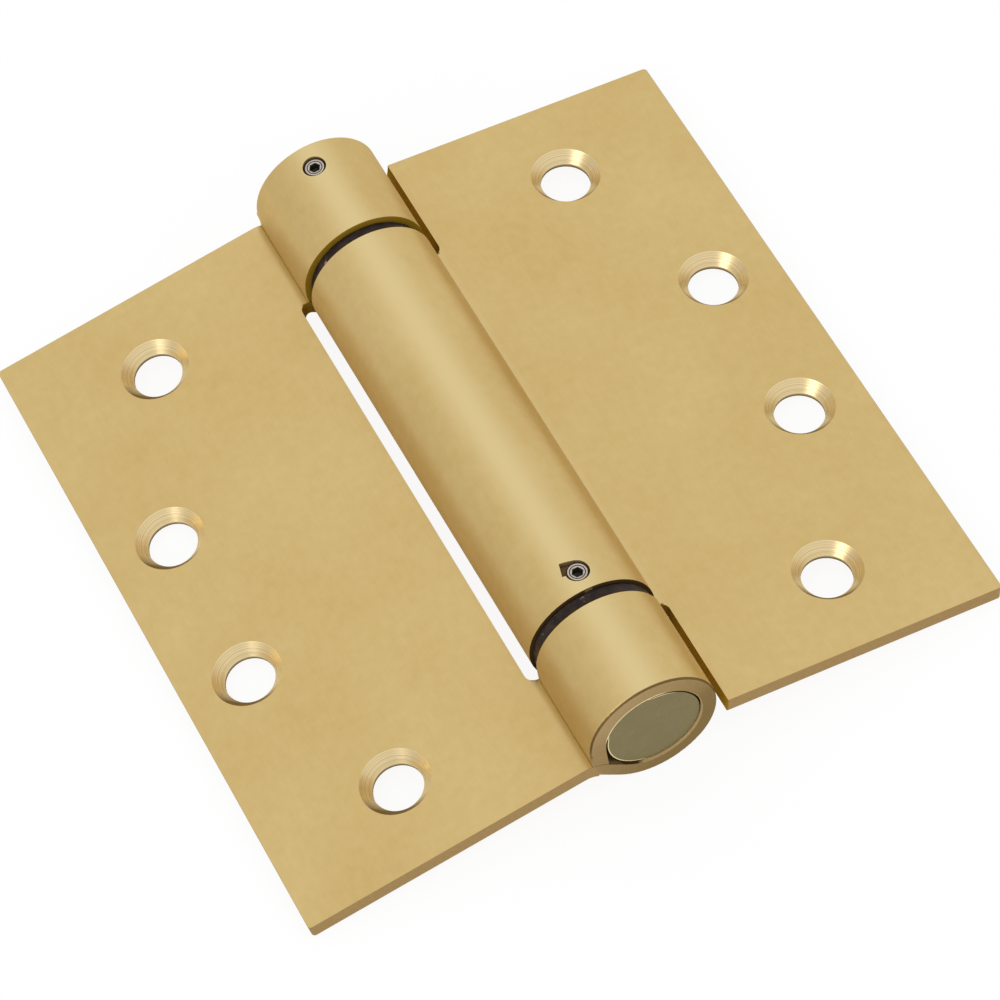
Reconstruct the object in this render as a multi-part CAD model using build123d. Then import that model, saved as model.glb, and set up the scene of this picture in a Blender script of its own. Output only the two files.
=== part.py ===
from build123d import *
import math
import os

# Spring hinge, 114.3 mm (4-1/2 in) square when open, in millimetres.
# The pin axis is the Y axis, with the origin half way along the barrel. The leaf with
# two end knuckles lies towards -X, the leaf with the long centre knuckle towards +X.
# It lies as it rests on a table: on the barrel and on both free edges.

# Leaf blanks
hinge_height = 114.3
leaf_reach = 57.15
sheet = 2.45
face_drop = 0.79
corner_round = 0.6

# Roll of the knuckles, seen along the pin
bore_radius = 7.75
slope_angle = 46.8
bend_radius = 2.5
tail_angle = 7.0
seam_gap = 0.08
end_rounding = 0.5

# Knuckles along the pin
centre_knuckle = 74.8
knuckle_gap = 2.3
upper_overhang = 0.8
notch_edge = 12.0
notch_round = 1.4

# Countersunk screw holes: from the pin axis, and from the middle of the leaf
hole_radius = 3.9
countersink_radius = 5.45
countersink_angle = 82.0
inner_hole = (35.9, 42.86)
outer_hole = (46.75, 14.0)

# Fits
fit_gap = 0.05
axial_play = 0.1

# Plugs in the end knuckles
plug_recess = 0.3
plug_bevel = 0.3
socket_across_flats = 6.35
socket_depth = 9.0
lock_groove_depth = 0.6
lock_groove_margin = 0.5

# Journals, slotted noses and flanged bearings
upper_journal_radius = 5.4
upper_flange_radius = 8.45
upper_sleeve_length = 7.8
lower_journal_radius = 3.9
lower_flange_radius = 9.7
lower_sleeve_wall = 1.1
lower_sleeve_length = 6.4
flange_bevel = 0.3
nose_length = 7.0
nose_clearance = 0.25
nose_bevel = 0.6
shoulder_gap = 0.4
anchor_wall = 1.7

# Torsion spring of square wire, close wound
wire = 3.0
coil_gap = 0.1
coil_clearance = 0.45
spring_end_clearance = 0.3
tang_bend_radius = 1.7
tang_reach = 3.2
tang_clearance = 0.15

# Set screws: round the pin from their own leaf, and in from the end of their knuckle
set_screw_radius = 1.8
set_screw_recess = 0.35
set_screw_bevel = 0.25
set_screw_socket = 1.6
set_screw_socket_depth = 1.5
set_screw_angle = 93.5
lock_screw_inset = 4.5
anchor_screw_inset = 3.55

# Square relief beside the anchor screw
relief_width = 2.3
relief_reach = 2.35
relief_offset = 0.75
relief_turn = 76.0
relief_depth = 1.2

# Worked out from the sizes above
half_height = hinge_height / 2
upper_end = half_height + upper_overhang
half_centre = centre_knuckle / 2
end_knuckle_start = half_centre + knuckle_gap
barrel_radius = bore_radius + sheet
middle_radius = bore_radius + sheet / 2
plug_radius = bore_radius - fit_gap
flange_end = end_knuckle_start - axial_play
upper_shoulder = half_centre - upper_sleeve_length - shoulder_gap
lower_shoulder = half_centre - lower_sleeve_length - axial_play - anchor_wall
coil_radius = bore_radius - coil_clearance - wire / 2
nose_radius = coil_radius - wire / 2 - nose_clearance
lower_sleeve_radius = lower_journal_radius + fit_gap + lower_sleeve_wall
screw_head_radius = barrel_radius - set_screw_recess
screw_seat_radius = plug_radius - lock_groove_depth
lock_screw_y = upper_end - lock_screw_inset
anchor_screw_y = half_centre - anchor_screw_inset

# How far cutters run past what they cut, and how close counts as the same place
past = 2.0
nearly = 0.01


def resting_droop():
    """Dip of both leaves, in degrees, that puts barrel and free edges on one table."""
    depth = face_drop + sheet
    reach = math.hypot(leaf_reach, depth)
    return math.degrees(math.asin(barrel_radius / reach) - math.atan2(depth, leaf_reach))


def polar(radius, angle):
    """Point of the section, from the pin axis, with the angle counted from +X to +Z."""
    turn = math.radians(angle)
    return Vector(radius * math.cos(turn), 0, radius * math.sin(turn))


class BentStrip:
    """Section of a strip of even thickness, drawn along its middle line in the XZ plane."""

    def __init__(self, start, heading, thickness=sheet):
        self.place = start
        self.heading = heading
        self.thickness = thickness
        self.left = []
        self.right = []

    def sides(self):
        return ((self.left, self.thickness / 2), (self.right, -self.thickness / 2))

    def straight(self, length):
        end = self.place + polar(length, self.heading)
        for side, offset in self.sides():
            shift = polar(offset, self.heading + 90)
            side.append(Line(self.place + shift, end + shift))
        self.place = end

    def bend(self, radius, turn):
        """Bend of a middle radius: a positive turn, in degrees, is to the left."""
        towards = self.heading + math.copysign(90, turn)
        centre = self.place + polar(radius, towards)
        for side, offset in self.sides():
            spoke = -radius + math.copysign(offset, offset * turn)
            stops = [centre + polar(spoke, towards + turn * share) for share in (0, 0.5, 1)]
            side.append(ThreePointArc(*stops))
        self.place = centre - polar(radius, towards + turn)
        self.heading += turn

    def face(self):
        start_cap = Line(self.right[0] @ 0, self.left[0] @ 0)
        end_cap = Line(self.left[-1] @ 1, self.right[-1] @ 1)
        return make_face(self.left + self.right + [start_cap, end_cap])


def slope_length():
    """Length of the straight slope between the foot of the roll and the plate's bend."""
    slope = math.radians(slope_angle)
    climb = middle_radius * math.cos(slope) - face_drop - sheet / 2
    return (climb - (bend_radius + sheet / 2) * (1 - math.cos(slope))) / math.sin(slope)


def plate_section(thickness=sheet):
    """From the foot of the roll: slope, bend and flat plate out to the free edge."""
    strip = BentStrip(polar(middle_radius, slope_angle - 90), slope_angle, thickness)
    strip.straight(slope_length())
    strip.bend(bend_radius + sheet / 2, -slope_angle)
    strip.straight(leaf_reach - strip.place.X)
    return strip.face()


def roll_section():
    """The round of the knuckle, from its tail over the top to the foot of the slope."""
    strip = BentStrip(polar(middle_radius, tail_angle), tail_angle + 90)
    strip.bend(middle_radius, 270 + slope_angle - tail_angle)
    return strip.face()


def tail_section():
    """The last of the roll: straight down, until it seats on the plate with the seam's gap."""
    strip = BentStrip(polar(middle_radius, tail_angle), tail_angle - 90)
    strip.straight(barrel_radius)
    return (strip.face() - plate_section(sheet + 2 * seam_gap)).faces().sort_by(Axis.Z)[-1]


def corners_at(outline, reach):
    """Corners of a plan outline that lie at one distance from the pin axis."""
    return [corner for corner in outline.vertices() if abs(corner.X - reach) < nearly]


def block(left, right, low, high):
    """Rectangle between two distances from the pin axis and two places along it."""
    return Pos((left + right) / 2, (low + high) / 2) * Rectangle(right - left, high - low)


def plan_outline(knuckles):
    """Plan of a leaf: its plate from the notch edge out, and two blocks for each knuckle.

    Past the plate's end a knuckle is only as wide as the barrel.
    """
    behind = -barrel_radius - past
    outline = block(notch_edge, leaf_reach, -half_height, half_height)
    for low, high in knuckles:
        outline += block(behind, notch_edge, max(low, -half_height), high)
        outline += block(behind, barrel_radius, low, high)
    inside = [corner for corner in corners_at(outline, notch_edge) if abs(corner.Y) < half_height - past]
    outline = fillet(inside, notch_round)
    return fillet(corners_at(outline, leaf_reach), corner_round)


def end_round(end, inward):
    """Cutter that rounds a barrel end's rim, all round the roll and up its slope."""
    centre = (barrel_radius - end_rounding, end + inward * end_rounding)
    rim = (barrel_radius + past, end)
    edges = [
        RadiusArc((barrel_radius, centre[1]), (centre[0], end), inward * end_rounding),
        Polyline((centre[0], end), rim, (rim[0], centre[1]), (barrel_radius, centre[1])),
    ]
    profile = make_face(edges)
    start = Rot(0, -tail_angle, 0) * profile
    roll = revolve(start, Axis((0, 0, 0), (0, -1, 0)), 270 + slope_angle - tail_angle)
    foot = Rot(0, 90 - slope_angle, 0) * profile
    return roll + extrude(foot, slope_length(), dir=polar(1, slope_angle))


def countersunk_hole(place):
    """Cutter for a screw hole and its countersink, from the leaf's upper face."""
    slant = math.tan(math.radians(countersink_angle / 2))
    depth = (countersink_radius - hole_radius) / slant
    mouth = countersink_radius + past * slant
    cone = Cone(hole_radius, mouth, depth + past, align=(Align.CENTER, Align.CENTER, Align.MIN))
    drill = Cylinder(hole_radius, 2 * sheet + past)
    return Pos(place[0], place[1], -face_drop) * (Pos(0, 0, -depth) * cone + drill)


def radial(angle, along):
    """Place on the pin axis whose Z points out through the barrel at an angle."""
    return Pos(0, along, 0) * Rot(0, 90 - angle, 0)


def rolled_leaf(knuckles):
    """A leaf in its own frame: plate out along +X, pin along Y, countersinks upwards."""
    section = plate_section() + roll_section() + tail_section()
    leaf = extrude(section, upper_end, both=True)
    leaf &= extrude(plan_outline(knuckles), leaf_reach, both=True)
    for reach, along in (inner_hole, outer_hole):
        for side in (-1, 1):
            leaf -= countersunk_hole((reach, side * along))
    return leaf


def screw_hole(along):
    """Cutter for a set screw's hole through the knuckle wall."""
    hole = Pos(0, 0, middle_radius) * Cylinder(set_screw_radius + fit_gap, sheet + past)
    return radial(set_screw_angle, along) * hole


def screw_relief(along):
    """Cutter for the square relief beside the anchor screw's hole."""
    pocket = Box(relief_reach, relief_width, relief_depth + past, align=(Align.MIN, Align.CENTER, Align.MIN))
    turned_block = Rot(0, 0, 90 + relief_turn) * Pos(0, -relief_offset, 0) * pocket
    return radial(set_screw_angle, along) * Pos(0, 0, barrel_radius - relief_depth) * turned_block


def two_knuckle_leaf():
    leaf = rolled_leaf([(-upper_end, -end_knuckle_start), (end_knuckle_start, half_height)])
    return leaf - end_round(-upper_end, 1) - end_round(half_height, -1) - screw_hole(-lock_screw_y)


def centre_knuckle_leaf():
    leaf = rolled_leaf([(-half_centre, half_centre)])
    return leaf - screw_hole(-anchor_screw_y) - screw_relief(-anchor_screw_y)


def turned(*profile):
    """Solid of revolution about the pin axis from (radius, place along Y) corners."""
    ends = [(0, profile[0][1]), *profile, (0, profile[-1][1])]
    return revolve(make_face(Polyline(*ends, close=True)), Axis.Y)


def tang_slot(shoulder, direction):
    """Cutter for the slot that holds a tang of the spring, in a nose that points down from a shoulder."""
    width = wire + 2 * tang_clearance
    slot = Box(2 * bore_radius, nose_length + past, width, align=(Align.CENTER, Align.MAX, Align.CENTER))
    return Rot(0, direction, 0) * Pos(0, shoulder, 0) * slot


def tension_plug():
    """Plug in the upper end knuckle: hex socket, lock groove, journal and slotted nose."""
    groove = set_screw_radius + lock_groove_margin
    nose_end = upper_shoulder - nose_length
    plug_end = upper_end - plug_recess
    plug = turned(
        (nose_radius - nose_bevel, nose_end),
        (nose_radius, nose_end + nose_bevel),
        (nose_radius, upper_shoulder),
        (upper_journal_radius, upper_shoulder),
        (upper_journal_radius, end_knuckle_start),
        (plug_radius, end_knuckle_start),
        (plug_radius, lock_screw_y - groove),
        (screw_seat_radius, lock_screw_y - groove),
        (screw_seat_radius, lock_screw_y + groove),
        (plug_radius, lock_screw_y + groove),
        (plug_radius, plug_end - plug_bevel),
        (plug_radius - plug_bevel, plug_end),
    )
    hexagon = RegularPolygon(socket_across_flats / 2, 6, major_radius=False)
    socket = extrude(Plane.XZ.offset(-plug_end) * hexagon, socket_depth)
    return plug - socket - tang_slot(upper_shoulder, upper_tang_direction())


def spring_anchor():
    """Slug fixed in the lower end of the centre knuckle, bored for the lower bearing."""
    bore = lower_sleeve_radius + fit_gap
    bore_end = lower_shoulder + anchor_wall
    nose_end = lower_shoulder - nose_length
    slug = turned(
        (nose_radius - nose_bevel, -nose_end),
        (nose_radius, -nose_end - nose_bevel),
        (nose_radius, -lower_shoulder),
        (plug_radius, -lower_shoulder),
        (plug_radius, axial_play - half_centre),
    )
    slug -= turned((bore, -bore_end), (bore, -half_centre))
    seat = Pos(0, 0, screw_seat_radius) * Cylinder(
        set_screw_radius + fit_gap, past, align=(Align.CENTER, Align.CENTER, Align.MIN)
    )
    slug -= placed_right(radial(set_screw_angle, -anchor_screw_y) * seat)
    return slug - Rot(180, 0, 0) * tang_slot(lower_shoulder, 0)


def pivot_plug():
    """Plug in the lower end knuckle, with the journal that the centre knuckle turns on."""
    journal_end = half_centre - lower_sleeve_length
    plug_end = half_height - plug_recess
    return turned(
        (lower_journal_radius - plug_bevel, -journal_end),
        (lower_journal_radius, -journal_end - plug_bevel),
        (lower_journal_radius, -end_knuckle_start),
        (plug_radius, -end_knuckle_start),
        (plug_radius, plug_bevel - plug_end),
        (plug_radius - plug_bevel, -plug_end),
    )


def flanged_bearing(sleeve_radius, sleeve_length, flange_radius, journal_radius):
    """Bush whose flange fills the gap between two knuckles, on the +Y side."""
    bush = turned(
        (sleeve_radius, half_centre - sleeve_length),
        (sleeve_radius, half_centre),
        (flange_radius - flange_bevel, half_centre),
        (flange_radius, half_centre + flange_bevel),
        (flange_radius, flange_end - flange_bevel),
        (flange_radius - flange_bevel, flange_end),
    )
    bore = journal_radius + fit_gap
    return bush - turned((bore, half_centre - sleeve_length), (bore, flange_end))


def coil_height():
    return upper_shoulder + lower_shoulder - 2 * spring_end_clearance - wire


def elbow_angle():
    """Angle round the coil between a tang's middle line and the end of its elbow."""
    return math.degrees(math.asin(tang_bend_radius / (coil_radius - tang_bend_radius)))


def upper_tang_direction():
    """Direction of the upper tang, in degrees about the pin from the lower one."""
    turns = coil_height() / (wire + coil_gap)
    return -(2 * elbow_angle() + 360 * turns) % 180


def torsion_spring():
    """Close coil of square wire whose ends bend in across the pin axis as tangs.

    It is drawn with a right-hand coil and mirrored, so that opening the leaves winds it tighter.
    """
    angle = elbow_angle()
    height = coil_height()
    elbow_x = (coil_radius - tang_bend_radius) * math.cos(math.radians(angle))
    coil = Helix(wire + coil_gap, height, coil_radius).rotate(Axis.Z, angle)
    tang = Line((-tang_reach, 0, 0), (elbow_x, 0, 0))
    elbow = CenterArc((elbow_x, tang_bend_radius, 0), tang_bend_radius, -90, 90 + angle)
    middle = coil @ 0.5
    across = Axis((0, 0, height / 2), (middle.X, middle.Y, 0))
    far_end = [edge.rotate(across, 180) for edge in (elbow, tang)]
    route = Wire([piece.edge() for piece in (tang, elbow, coil, *far_end)])
    section = Plane(tang @ 0, x_dir=(0, 0, 1), z_dir=tang % 0) * Rectangle(wire, wire)
    spring = sweep(section, path=route, is_frenet=True)
    start = spring_end_clearance + wire / 2 - lower_shoulder
    return Rot(-90, 0, 0) * Pos(0, 0, start) * mirror(spring, Plane.XZ)


def set_screw(along):
    """Headless screw seated on its plug, with a hex socket in its outer end."""
    tip = screw_seat_radius + fit_gap
    length = screw_head_radius - tip
    screw = Cylinder(set_screw_radius, length, align=(Align.CENTER, Align.CENTER, Align.MAX))
    screw = chamfer(screw.edges().filter_by(GeomType.CIRCLE), set_screw_bevel)
    hexagon = RegularPolygon(set_screw_socket / 2, 6, major_radius=False)
    screw -= extrude(hexagon, -set_screw_socket_depth)
    return radial(set_screw_angle, along) * Pos(0, 0, screw_head_radius) * screw


def placed_right(piece):
    """From the leaf's own frame to the +X side, dipped as it rests."""
    return Rot(0, resting_droop(), 0) * piece


def placed_left(piece):
    """From the leaf's own frame, turned end for end, to the -X side, dipped as it rests."""
    return Rot(0, -resting_droop(), 0) * Rot(0, 0, 180) * piece


upper_bearing = flanged_bearing(
    plug_radius, upper_sleeve_length, upper_flange_radius, upper_journal_radius
)
lower_bearing = Rot(180, 0, 0) * flanged_bearing(
    lower_sleeve_radius, lower_sleeve_length, lower_flange_radius, lower_journal_radius
)

parts = {
    "two_knuckle_leaf": placed_left(two_knuckle_leaf()),
    "centre_knuckle_leaf": placed_right(centre_knuckle_leaf()),
    "tension_plug": tension_plug(),
    "pivot_plug": pivot_plug(),
    "spring_anchor": spring_anchor(),
    "torsion_spring": torsion_spring(),
    "upper_bearing": upper_bearing,
    "lower_bearing": lower_bearing,
    "lock_screw": placed_left(set_screw(-lock_screw_y)),
    "anchor_screw": placed_right(set_screw(-anchor_screw_y)),
}

os.makedirs("parts", exist_ok=True)
for name, solid in parts.items():
    export_step(Pos(0, -upper_overhang / 2, 0) * solid, os.path.join("parts", name + ".step"))
print("resting droop", round(resting_droop(), 3), "degrees")
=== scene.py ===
import math

import bpy
import numpy as np
from mathutils import Matrix, Vector


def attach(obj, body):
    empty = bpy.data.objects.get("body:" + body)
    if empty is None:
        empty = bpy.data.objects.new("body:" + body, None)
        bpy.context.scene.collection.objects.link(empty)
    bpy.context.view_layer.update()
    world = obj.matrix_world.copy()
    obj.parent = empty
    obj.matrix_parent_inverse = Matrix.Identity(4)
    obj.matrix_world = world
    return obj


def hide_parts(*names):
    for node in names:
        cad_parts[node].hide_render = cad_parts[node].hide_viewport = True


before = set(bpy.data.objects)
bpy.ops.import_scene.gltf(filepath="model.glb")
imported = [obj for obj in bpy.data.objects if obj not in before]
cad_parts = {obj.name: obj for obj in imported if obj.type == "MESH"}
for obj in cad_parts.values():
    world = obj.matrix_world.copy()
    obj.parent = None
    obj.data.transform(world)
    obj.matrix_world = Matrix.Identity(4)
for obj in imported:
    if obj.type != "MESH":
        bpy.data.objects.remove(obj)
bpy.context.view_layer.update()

# Sizes of the part, in metres, as its CAD source has them
half_height = 0.05715
leaf_reach = 0.05715
sheet = 0.00245
face_drop = 0.00079
corner_round = 0.0006
bore_radius = 0.00775
barrel_radius = bore_radius + sheet
upper_overhang = 0.0008
leaf_middle = -upper_overhang / 2
notch_edge = 0.012
half_centre = 0.0374
end_knuckle_start = 0.0397
bend_end = 0.0121
hole_radius = 0.0039
countersink_radius = 0.00545
inner_hole = (0.0359, 0.04286)
outer_hole = (0.04675, 0.014)
set_screw_angle = math.radians(93.5)
lock_screw_y = half_height - leaf_middle - 0.0045
anchor_screw_y = leaf_middle - half_centre + 0.00355
screw_head_radius = barrel_radius - 0.00035
screw_tip_radius = 0.00715
screw_radius = 0.0018
plug_radius = bore_radius - 0.00005
back_drop = face_drop + sheet
droop = math.asin(barrel_radius / math.hypot(leaf_reach, back_drop)) - math.atan2(back_drop, leaf_reach)

# Sizes that the photo shows and the solids leave out
flange_rim_radius = 0.0093
shear_slant = 0.0002
end_groove_radii = (0.00116, 0.00158)

# How far a finish reaches past the surface it covers, and the soft step at its border
skin = 0.00004
roll_skin = 0.00006
border = 0.00003


def tone(red, green, blue):
    """A colour given as it is seen, 0 to 255, turned into the linear one that a shader takes."""
    seen = np.array([red, green, blue]) / 255
    linear = np.where(seen <= 0.04045, seen / 12.92, ((seen + 0.055) / 1.055) ** 2.4)
    return (*linear.tolist(), 1.0)


class Value:
    """An output of a shader node. Arithmetic written with it adds Math nodes."""

    def __init__(self, finish, socket):
        self.finish = finish
        self.socket = socket

    def maths(self, operation, *terms, clamp=False):
        settings = {"operation": operation, "use_clamp": clamp}
        return self.finish.node("ShaderNodeMath", settings, dict(enumerate(terms)))

    def __add__(self, other):
        return self.maths("ADD", self, other)

    def __radd__(self, other):
        return self.maths("ADD", other, self)

    def __sub__(self, other):
        return self.maths("SUBTRACT", self, other)

    def __rsub__(self, other):
        return self.maths("SUBTRACT", other, self)

    def __mul__(self, other):
        return self.maths("MULTIPLY", self, other)

    def __rmul__(self, other):
        return self.maths("MULTIPLY", other, self)

    def __truediv__(self, other):
        return self.maths("DIVIDE", self, other)

    def __pow__(self, power):
        return self.maths("POWER", self, power)

    def __neg__(self):
        return self.maths("MULTIPLY", self, -1.0)

    def __abs__(self):
        return self.maths("ABSOLUTE", self)

    def sign(self):
        return self.maths("SIGN", self)

    def least(self, other):
        return self.maths("MINIMUM", self, other)

    def most(self, other):
        return self.maths("MAXIMUM", self, other)

    def over(self, edge, soft=border):
        """1 where the value is above an edge, 0 below it, with a straight ramp of a given width."""
        return self.maths("MULTIPLY", (self - edge) / soft + 0.5, 1.0, clamp=True)

    def under(self, edge, soft=border):
        return 1 - self.over(edge, soft)


class Finish:
    """A material made of nodes, whose patterns lie on the object's own coordinates."""

    def __init__(self, name, world=None):
        self.material = world or bpy.data.materials.new(name)
        self.material.use_nodes = True
        self.tree = self.material.node_tree
        self.tree.nodes.clear()

    def node(self, kind, settings=None, inputs=None, output=0):
        """A new node with its settings and inputs. It gives back one of its outputs, if it has any."""
        made = self.tree.nodes.new(kind)
        for name, value in (settings or {}).items():
            setattr(made, name, value)
        for name, value in (inputs or {}).items():
            if isinstance(value, Value):
                self.tree.links.new(value.socket, made.inputs[name])
            else:
                made.inputs[name].default_value = value
        return Value(self, made.outputs[output]) if made.outputs else None

    def place(self):
        """The point on the object, as a vector."""
        return self.node("ShaderNodeTexCoord", output="Object")

    def parts_of(self, vector):
        """The three numbers of a vector."""
        return [self.node("ShaderNodeSeparateXYZ", inputs={0: vector}, output=axis) for axis in range(3)]

    def vector(self, x, y, z):
        return self.node("ShaderNodeCombineXYZ", inputs={0: x, 1: y, 2: z})

    def noise(self, vector, scale=1.0, detail=2.0, roughness=0.5, dimensions="3D"):
        place = "W" if dimensions == "1D" else "Vector"
        return self.node(
            "ShaderNodeTexNoise",
            {"noise_dimensions": dimensions},
            {place: vector, "Scale": scale, "Detail": detail, "Roughness": roughness},
        )

    def mix(self, share, first, second):
        """A colour between two colours."""
        return self.node(
            "ShaderNodeMix", {"data_type": "RGBA"}, {"Factor": share, 6: first, 7: second}, output=2
        )

    def coats(self, colour, *coats):
        """A colour with others over it, each given as its share and its colour."""
        for share, coat in coats:
            colour = self.mix(share, colour, coat)
        return colour

    def blend(self, share, first, second):
        """A number between two numbers."""
        return first + (second - first) * share

    def bump(self, height, strength, distance):
        inputs = {"Height": height, "Strength": strength, "Distance": distance}
        return self.node("ShaderNodeBump", inputs=inputs)

    def surface(self, **sockets):
        """Principled surface to the output, with socket names written with underscores."""
        inputs = {name.replace("_", " "): value for name, value in sockets.items()}
        self.node_output(self.node("ShaderNodeBsdfPrincipled", inputs=inputs))
        return self.material

    def node_output(self, shader, kind="ShaderNodeOutputMaterial"):
        self.node(kind, inputs={"Surface": shader})


# Brass: faces, cut edges, ends of the roll, notch and gap walls, turned countersinks, with painted
# highlights on the roll and painted shade on its lower end, in notches, gaps, holes, bore and relief
satin_brass = tone(211, 186, 129)
warm_brass = tone(201, 173, 113)
# Paler brass: the lip round the set screw's hole, and the painted highlight on the roll's top and the bend
pale_brass = tone(215, 194, 141)
cut_brass = tone(158, 128, 80)
# Cut-edge tone that is also the painted light at upper left of the roll's lower end; the next is painted
# shade on that end
edge_and_lit_end_tone = tone(174, 148, 106)
shaded_end_tone = tone(143, 120, 78)
# Painted shade in the notches and in the gaps between knuckles
notch_shade = tone(152, 119, 40)
olive_gap_shade = tone(150, 118, 34)
black_gap_shade = tone(72, 54, 30)
# Turned brass, which also paints a glint along the bore's edge
turned_brass = tone(244, 228, 186)
# Painted light on the bore's lip
lip_light_brass = tone(196, 168, 120)
edge_brass = tone(116, 92, 54)
ring_groove = tone(196, 166, 106)
# Painted shade on hole walls, in the bore, on the countersinks' low sides and in the screw relief
hole_shade = tone(120, 102, 66)
bore_shade = tone(78, 56, 30)
countersink_shade = tone(120, 94, 52)
relief_shade = tone(128, 104, 66)


def screw_place(x, y, z, side, along):
    """Height of a point along a set screw's axis, and its distance from that axis."""
    tilt = side * (math.pi / 2 - set_screw_angle + droop)
    height = x * math.sin(tilt) + z * math.cos(tilt)
    across = x * math.cos(tilt) - z * math.sin(tilt)
    return height, (across * across + (y - along) * (y - along)) ** 0.5


def leaf_finish(name, side, end_knuckles):
    """Satin brass of a leaf: brushed faces, browner cut edges, bright turned countersinks.

    The masks are worked out in the leaf's own frame: out from the pin, lift over its middle
    plane, along from the middle of the leaf, and radius from the pin.
    """
    finish = Finish(name)
    x, y, z = finish.parts_of(finish.place())
    out = x * (side * math.cos(droop)) - z * math.sin(droop)
    lift = x * (side * math.sin(droop)) + z * math.cos(droop)
    along = abs(y - leaf_middle)
    radius = (x * x + z * z) ** 0.5
    lower_end = leaf_middle - half_height

    # The roll: its crown and the bend beside it, given a painted highlight, its cheeks, its faces in the
    # gaps, painted dark as shade, and its bore
    roll = radius.under(barrel_radius + roll_skin)
    top_highlight = (((z / radius) - 0.86) / 0.14).most(0.0) ** 2.5 * roll
    cheek = (0.6 - z / radius).most(0.0).least(0.35) * 2.857 * roll
    bend = out.under(bend_end - 0.0006, 0.0014) * (1 - roll) * lift.over(-face_drop - 0.0012)
    gap_place = end_knuckle_start if end_knuckles else half_centre
    gap_face = abs(along - gap_place).under(skin) * roll
    bore = radius.under(bore_radius + roll_skin)

    # The cut edges: round the plate, on the ends of the roll, and in the notches; painted shade on the
    # roll's lower end and in the notches, and a painted glint along the bore's edge
    corner_out = (out - (leaf_reach - corner_round)).most(0.0)
    corner_along = (along - (half_height - corner_round)).most(0.0)
    outline = (corner_out * corner_out + corner_along * corner_along) ** 0.5
    rim = outline.over(corner_round - skin) * (1 - roll)
    tip = finish.blend(roll * y.over(leaf_middle), half_height, half_height + upper_overhang)
    ends = (along - tip).over(-skin)
    knuckle_end = y.under(lower_end + 0.0004, 0.0001) * roll
    end_edge = knuckle_end * radius.over(barrel_radius - 0.00022) * z.over(0.0005, 0.003)
    notched = along.under(end_knuckle_start + skin) if end_knuckles else along.over(half_centre - skin)
    notch = out.under(notch_edge + skin) * lift.under(-face_drop - 0.00003) * notched * (1 - roll)
    corner_line = abs(radius - bore_radius - 0.00008).under(0.00008)
    edge_glint = corner_line * ends * (z * 1.2 - x * 0.6).over(0.0075, 0.001)

    # The nearest screw hole: its countersink, the low side of it, and its wall; the low side and the wall's
    # lower part are painted shade
    reach = []
    for centre_out, centre_along in (inner_hole, outer_hole):
        across = out - centre_out
        up = along - centre_along
        reach.append((across * across + up * up) ** 0.5)
    from_hole = reach[0].least(reach[1])
    nearest = reach[0].over(reach[1])
    hole_out = finish.blend(nearest, inner_hole[0], outer_hole[0])
    hole_along = finish.blend(nearest, inner_hole[1], outer_hole[1])
    hole_y = (y - leaf_middle).sign() * hole_along + leaf_middle
    below_face = lift.under(-face_drop - 0.00002) * lift.over(-back_drop + 0.0001)
    sunk = from_hole.under(countersink_radius) * below_face
    hole_wall = from_hole.under(hole_radius + 0.0001) * lift.under(-back_drop + 0.00045, 0.0005)
    hole_wall = hole_wall * out.over(notch_edge)
    towards = (hole_y - y) * 0.89 + (hole_out - out) * (side * 0.45)
    low_side = (towards / countersink_radius - 0.35).most(0.0).least(0.4) * 2.5 * sunk

    # The set screw's hole and the relief beside it, painted dark as shade
    height, from_screw = screw_place(x, y, z, side, lock_screw_y if end_knuckles else anchor_screw_y)
    screw_wall = from_screw.under(2 * screw_radius) * radius.under(barrel_radius - 0.0001) * height.over(0.0)
    lip = from_screw.under(screw_radius + 0.00022) * height.over(0.0) * (1 - screw_wall)

    # The wall of the bore, painted dark as shade, and its lip, painted lighter as the light that the end
    # plug lets in
    bore_wall = bore * (1 - ends)
    painted_light_lip = bore * along.over(half_height - 0.0015) * (x * 0.8 - z * 0.6).over(0.002, 0.001)

    # Grain: fine brushing along the pin, streaks, clouds, mottle, tool marks round the holes
    fine = finish.noise(finish.vector(x * 9000.0, y * 150.0, z * 9000.0), detail=3.0, roughness=0.6)
    streak = finish.noise(finish.vector(x * 2400.0, y * 320.0, z * 2400.0), detail=2.0)
    cloud = finish.noise(finish.place(), scale=45.0, detail=2.0)
    mottle = finish.noise(finish.place(), scale=600.0, detail=2.0)
    speck = finish.noise(finish.place(), scale=3500.0, detail=1.0)
    rings = finish.noise(from_hole * 9000.0, dimensions="1D", detail=2.0)
    brushed = fine * 0.4 + streak * 0.6
    shade = cloud * 1.5 + streak * 0.55 + mottle * 0.9 + fine * 0.25 - 1.1

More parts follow.
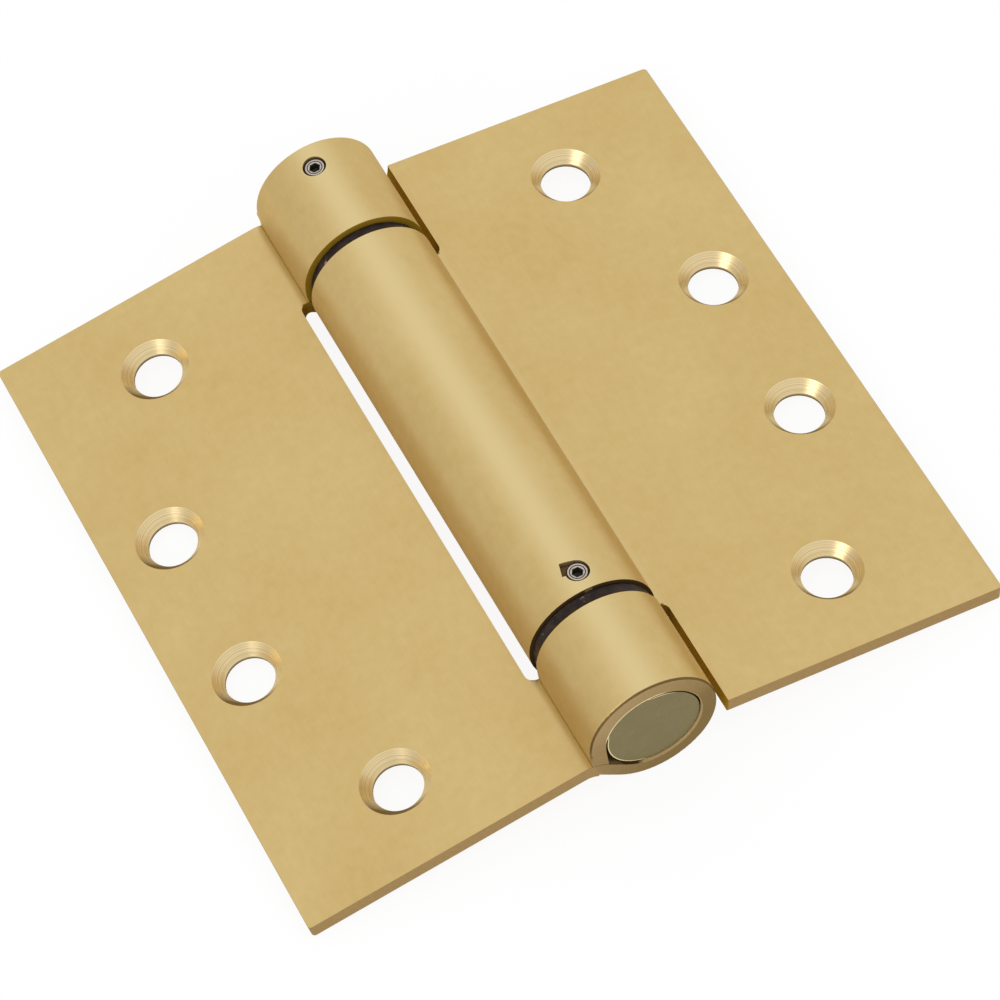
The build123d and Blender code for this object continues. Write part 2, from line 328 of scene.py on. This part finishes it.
    bored = finish.mix((rings - 0.5) * 1.6 + 0.5, turned_brass, ring_groove)
    colour = finish.coats(
        finish.mix(shade, warm_brass, satin_brass),
        # painted highlight on the roll's top and on the bend beside it
        (top_highlight.most(bend * 0.6), pale_brass),
        (lip * 0.7, pale_brass),
        # painted shade on the countersink's low side
        (sunk, finish.mix(low_side, bored, countersink_shade)),
        (rim.most(ends), finish.mix(speck, cut_brass, edge_and_lit_end_tone)),
        # painted shade on the roll's lower end, lighter at upper left as painted light
        (knuckle_end, finish.mix((z - x) * 45.0 + speck * 0.6 + 0.1, shaded_end_tone, edge_and_lit_end_tone)),
        (end_edge, edge_brass),
        # painted glint along the bore's edge at upper left
        (edge_glint, turned_brass),
        # painted shade in the notches
        (notch, notch_shade),
        # painted shade on the knuckle faces in the gaps, olive on the left leaf, black on the right
        (gap_face, olive_gap_shade if end_knuckles else black_gap_shade),
        # painted shade on the hole wall's lower part
        (hole_wall, hole_shade),
        # painted shade in the bore
        (bore_wall, bore_shade),
        # painted light on the bore's lip
        (painted_light_lip, lip_light_brass),
        # painted shade in the screw relief
        (screw_wall, relief_shade),
    )
    dull = notch.most(gap_face).most(hole_wall).most(bore_wall).most(screw_wall).most(low_side * 0.9)
    return finish.surface(
        Base_Color=colour,
        Metallic=1 - dull,
        Roughness=finish.blend(sunk, 0.4 + brushed * 0.08 + cheek * 0.2, 0.32),
        Specular_IOR_Level=0.0,
        Specular_Tint=(0.9, 0.8, 0.6, 1.0),
        Normal=finish.bump(finish.blend(sunk, brushed, rings), 0.12, 0.00004),
    )


def plug_finish(name, low, high):
    """Turned steel plug with an olive tint, darkened as painted shade, and a few faint scratches.

    A painted highlight lies on its bevel on the left. Beside it, at upper right and at lower left,
    painted shade darkens the plug's edge along the gap round it.
    """
    finish = Finish(name)
    x, y, z = finish.parts_of(finish.place())
    radius = (x * x + z * z) ** 0.5
    rings = finish.noise(radius * 6000.0, dimensions="1D", detail=1.0)
    cloud = finish.noise(finish.place(), scale=260.0, detail=3.0)
    slanting = finish.vector(x * 300.0 + z * 500.0, y, (z - x) * 9000.0)
    scratch = finish.noise(slanting, detail=1.0).over(0.68, 0.06)
    right = (x * 0.8 + z * 0.6).over(0.0042, 0.001)
    left = (x * -0.9 - z * 0.45).over(0.005, 0.0008)
    uneven = (z / radius).most(0.0) * right * 0.0004 + right * 0.00015 + left * 0.0003
    edge = plug_radius - 0.00007 - uneven
    bevel = radius.over(edge - 0.00016) * (x * 0.8 - z * 0.3).under(0.001, 0.002)
    side = radius.over(edge) * right.most(left)
    colour = finish.coats(
        finish.mix(cloud * 0.6 + rings * 0.2, low, high),
        (scratch * 0.25, tone(190, 180, 140)),
        # painted highlight on the bevel
        (bevel, tone(228, 214, 164)),
        # painted shade along the gap round the plug
        (side, tone(48, 36, 20)),
    )
    return finish.surface(
        Base_Color=colour, Metallic=1 - side, Roughness=0.34 + cloud * 0.1, Specular_IOR_Level=0.0
    )


def screw_finish(name, side, along):
    """Grey steel of a set screw. Painted shade makes its socket black and darkens its thread and the two
    grooves of its end face.
    """
    finish = Finish(name)
    x, y, z = finish.parts_of(finish.place())
    height, from_axis = screw_place(x, y, z, side, along)
    inner, outer = end_groove_radii
    groove = abs(from_axis - inner).under(0.00008).most(abs(from_axis - outer).under(0.00011))
    # Painted shade: the end face's grooves, and all below the end face, in the socket and the thread
    dark = groove.most(height.under(screw_head_radius - 0.0003))
    speck = finish.noise(finish.place(), scale=5200.0, detail=2.0)
    metal = finish.mix(speck, tone(150, 140, 128), tone(214, 204, 190))
    screw_shade = finish.mix(speck, tone(30, 26, 22), tone(62, 54, 44))
    return finish.surface(
        Base_Color=finish.mix(dark, metal, screw_shade), Metallic=1 - dark, Roughness=0.3, Specular_IOR_Level=0.2
    )


def bare_steel(name, low, high, rough):
    """Bare steel, clouded a little from one colour to another."""
    finish = Finish(name)
    cloud = finish.noise(finish.place(), scale=420.0, detail=3.0)
    return finish.surface(
        Base_Color=finish.mix(cloud, low, high), Metallic=1.0, Roughness=rough + cloud * 0.08
    )


def bearing_finish():
    """Black bearing with brown dust and a few pale marks painted as glints."""
    finish = Finish("black_bearing")
    dust = finish.noise(finish.place(), scale=700.0, detail=3.0)
    glint_marks = finish.noise(finish.place(), scale=420.0, detail=4.0, roughness=0.8).over(0.66, 0.06)
    colour = finish.mix((dust - 0.4) * 2.5, tone(34, 27, 24), tone(66, 48, 38))
    # pale marks painted as glints
    colour = finish.mix(glint_marks * 0.5, colour, tone(190, 176, 160))
    return finish.surface(Base_Color=colour, Roughness=0.35, Specular_IOR_Level=0.12)


def give(node, material):
    """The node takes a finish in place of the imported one."""
    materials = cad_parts[node].data.materials
    materials.clear()
    materials.append(material)


give("two_knuckle_leaf", leaf_finish("satin_brass_left", -1, True))
right_brass = leaf_finish("satin_brass_right", 1, False)
give("centre_knuckle_leaf", right_brass)
# Olive steel tones, darkened as painted shade
plug_tones = (tone(118, 106, 66), tone(140, 128, 88))
give("pivot_plug", plug_finish("end_plug_steel", *plug_tones))
give("tension_plug", plug_finish("socket_plug_steel", *plug_tones))
bearing = bearing_finish()
give("upper_bearing", bearing)
give("lower_bearing", bearing)
give("spring_anchor", bare_steel("anchor_steel", tone(120, 118, 114), tone(150, 148, 142), rough=0.35))
give("torsion_spring", bare_steel("spring_steel", tone(84, 82, 80), tone(120, 116, 112), rough=0.3))


def new_piece(name, points, faces, material):
    """An object at the origin with a mesh of the given points and faces, in one material."""
    mesh = bpy.data.meshes.new(name)
    mesh.from_pydata(points.tolist(), [], faces)
    mesh.materials.append(material)
    piece = bpy.data.objects.new(name, mesh)
    bpy.context.scene.collection.objects.link(piece)
    return piece


def set_screw(name, side, along):
    """Headless screw in place of a plain one, as rows of points round its own axis.

    A row holds one radius and height for each angle. On the shank the radius dips by a
    sawtooth of height over pitch less angle over a full turn, which is the thread. On the
    end face come a bevel, two shallow grooves and the hexagon of the socket, whose
    radius is its apothem over the cosine of the angle from the middle of the nearest side.
    """
    turn = np.linspace(0.0, 2 * np.pi, 96, endpoint=False)
    pitch, depth, apothem, socket_depth = 0.0006, 0.00022, 0.0008, 0.0013
    foot_radius, head_radius, mouth_radius = 0.0013, 0.00166, 0.00095
    low, top = screw_tip_radius, screw_head_radius
    inner, outer = end_groove_radii
    shank = np.linspace(low + 0.0002, top - 0.00022, 40)[:, None]
    phase = (shank / pitch - turn / (2 * np.pi)) % 1.0
    shank_radius = screw_radius - 0.00002 - depth * np.abs(2 * phase - 1)
    ring = np.array([
        (head_radius, 0.0), (outer + 0.00004, 0.0), (outer, -0.0001), (outer - 0.00004, 0.0),
        (inner + 0.00006, 0.0), (inner, -0.0001), (inner - 0.00006, 0.0), (mouth_radius, 0.0),
    ])
    hexagon = apothem / np.cos((turn % (np.pi / 3)) - np.pi / 6)
    even = np.ones_like(turn)
    rows = [(foot_radius * even, low * even)]
    rows += list(zip(shank_radius, np.broadcast_to(shank, shank_radius.shape)))
    rows += [(reach * even, (top + dip) * even) for reach, dip in ring]
    rows += [(hexagon, (top - 0.00006) * even), (hexagon, (top - socket_depth) * even)]
    reach = np.array([row[0] for row in rows])
    height = np.array([row[1] for row in rows])
    tilt = side * (math.pi / 2 - set_screw_angle + droop)
    across, back = reach * np.cos(turn), reach * np.sin(turn)

    def placed(across, back, height):
        return np.stack([
            across * math.cos(tilt) + height * math.sin(tilt),
            along + back,
            height * math.cos(tilt) - across * math.sin(tilt),
        ], -1).reshape(-1, 3)

    count, steps = reach.shape[1], reach.shape[0]
    poles = placed(np.zeros(2), np.zeros(2), np.array([low, top - socket_depth - 0.0003]))
    points = np.concatenate([placed(across, back, height), poles])
    column = np.arange(count)
    after = (column + 1) % count
    first = (np.arange(steps - 1) * count)[:, None]
    above = first + count
    quads = np.stack([first + column, first + after, above + after, above + column], -1).reshape(-1, 4)
    last = (steps - 1) * count
    bottom = np.stack([after, column, np.full(count, steps * count)], -1)
    socket_floor = np.stack([last + column, last + after, np.full(count, steps * count + 1)], -1)
    faces = quads.tolist() + bottom.tolist() + socket_floor.tolist()
    piece = new_piece(name + "_threaded", points, faces, screw_finish(name + "_steel", side, along))
    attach(piece, name)
    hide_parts(name)


def upper_flange():
    """Worn rim of the upper bearing, as a profile turned about the pin.

    The profile runs from the flange out over a rounded edge and back: each of its points
    gives a radius and a place along the pin, and every angle repeats them.
    """
    turn = np.linspace(0.0, 2 * np.pi, 160, endpoint=False)
    low, high = half_centre + leaf_middle + 0.00003, end_knuckle_start + leaf_middle - 0.00012
    inner, edge = 0.0083, 0.00025
    bend = np.linspace(0.0, np.pi / 2, 7)
    middle = flange_rim_radius - edge
    reach = np.concatenate([[inner], middle + edge * np.sin(bend), middle + edge * np.cos(bend), [inner]])
    along = np.concatenate([
        [low], low + edge - edge * np.cos(bend), high - edge + edge * np.sin(bend), [high]
    ])
    points = np.stack([
        reach[:, None] * np.cos(turn), along[:, None] * np.ones_like(turn), reach[:, None] * np.sin(turn)
    ], -1).reshape(-1, 3)
    rows, count = len(reach), len(turn)
    column = np.arange(count)
    after = (column + 1) % count
    first = (np.arange(rows) * count)[:, None]
    second = ((np.arange(rows) + 1) % rows * count)[:, None]
    quads = np.stack([first + column, second + column, second + after, first + after], -1).reshape(-1, 4)
    piece = new_piece("upper_flange_rim", points, quads.tolist(), bearing)
    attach(piece, "centre_knuckle_side")


def sheared_edge(name, low, high):
    """Slant of the sheared notch wall of the right leaf: a wedge, wider towards the back.

    Its section is a triangle of distance out from the pin and height over the leaf's middle
    plane, carried straight along the pin from one place to the other.
    """
    section = np.array([
        (notch_edge + 0.00002, -face_drop - 0.0003),
        (notch_edge + 0.00002, -back_drop + 0.00001),
        (notch_edge - shear_slant, -back_drop + 0.00001),
    ])
    out, lift = np.tile(section[:, 0], 2), np.tile(section[:, 1], 2)
    points = np.stack([
        out * math.cos(droop) + lift * math.sin(droop),
        np.repeat([low, high], 3),
        lift * math.cos(droop) - out * math.sin(droop),
    ], -1)
    faces = [(2, 1, 0), (3, 4, 5), (1, 4, 3, 0), (2, 5, 4, 1), (0, 3, 5, 2)]
    piece = new_piece(name, points, faces, right_brass)
    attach(piece, "centre_knuckle_side")


sheared_edge("upper_notch_shear", leaf_middle + half_centre + 0.0013, leaf_middle + half_height - 0.00002)
sheared_edge("lower_notch_shear", leaf_middle - half_height + 0.00002, leaf_middle - half_centre - 0.0013)
upper_flange()
set_screw("lock_screw", -1, lock_screw_y)
set_screw("anchor_screw", 1, anchor_screw_y)


def ray_share(finish):
    """1 for a ray from the camera, a mirror or a window, 0 for one that lights the object."""
    names = ("Is Camera Ray", "Is Glossy Ray", "Is Transmission Ray")
    kinds = [finish.node("ShaderNodeLightPath", output=name) for name in names]
    return kinds[0].most(kinds[1]).most(kinds[2])


def pale_floor():
    """White floor that keeps part of the object's shadow."""
    finish = Finish("pale_floor")
    paper = finish.node("ShaderNodeBsdfDiffuse", inputs={"Color": (0.95, 0.95, 0.95, 1.0)})
    glow = finish.node("ShaderNodeEmission", inputs={"Color": (1.0, 1.0, 1.0, 1.0), "Strength": 1.0})
    share = ray_share(finish) * 0.9
    finish.node_output(finish.node("ShaderNodeMixShader", inputs={0: share, 1: paper, 2: glow}))
    half, level = 3.0, -barrel_radius
    corners = np.array([
        (-half, -half, level), (half, -half, level), (half, half, level), (-half, half, level)
    ])
    floor = new_piece("floor", corners, [(0, 1, 2, 3)], finish.material)


def studio_world():
    """White light from all round, a little weaker low down on the left.

    Its level is 1 less 0.26 of how far left a direction points, times 1 less how far up.
    """
    world = bpy.data.worlds.new("studio")
    bpy.context.scene.world = world
    finish = Finish("studio", world)
    x, y, z = finish.parts_of(finish.node("ShaderNodeTexCoord", output="Generated"))
    level = 1 - (-x).most(0.0) * (1 - z) * 0.26
    sky = finish.node("ShaderNodeBackground", inputs={"Color": (1.0, 1.0, 1.0, 1.0), "Strength": level})
    finish.node_output(sky, "ShaderNodeOutputWorld")


def softbox(name, towards, distance, width, height, radiance):
    """Rectangular lamp that faces the object, with the brightness of its face given."""
    lamp = bpy.data.lights.new(name, "AREA")
    lamp.shape = "RECTANGLE"
    lamp.size, lamp.size_y = width, height
    lamp.energy = radiance * math.pi * width * height
    box = bpy.data.objects.new(name, lamp)
    direction = Vector(towards).normalized()
    box.location = direction * distance
    box.rotation_euler = direction.to_track_quat("Z", "Y").to_euler()
    bpy.context.scene.collection.objects.link(box)


def camera():
    """Camera solved from the photograph: its place, its turn and its lens.

    The turn is an axis times an angle, and with the shift it takes a point on the object to
    the camera's own frame, in which the picture's height points down.
    """
    turn = Vector((2.4523, -0.6244, 0.0271))
    shift = Vector((-3.2768, -8.1385, 783.9736)) / 1000
    focal_pixels, picture_pixels = 5253.2, 1000
    rows = Matrix.Rotation(turn.length, 3, turn.normalized())
    lens = bpy.data.cameras.new("camera")
    lens.sensor_width = 36.0
    lens.lens = focal_pixels * lens.sensor_width / picture_pixels
    lens.clip_start, lens.clip_end = 0.01, 20.0
    eye = bpy.data.objects.new("camera", lens)
    eye.matrix_world = Matrix.Translation(-(rows.transposed() @ shift)) @ Matrix(
        (rows[0], -rows[1], -rows[2])
    ).transposed().to_4x4()
    bpy.context.scene.collection.objects.link(eye)
    bpy.context.scene.camera = eye


pale_floor()
studio_world()
softbox("overhead_softbox", (0.12, 0.56, 0.82), distance=0.9, width=0.45, height=0.7, radiance=0.12)
softbox("side_softbox", (-0.754, -0.372, 0.544), distance=0.9, width=0.42, height=0.45, radiance=2.4)
camera()

bpy.context.scene.view_settings.view_transform = "Standard"
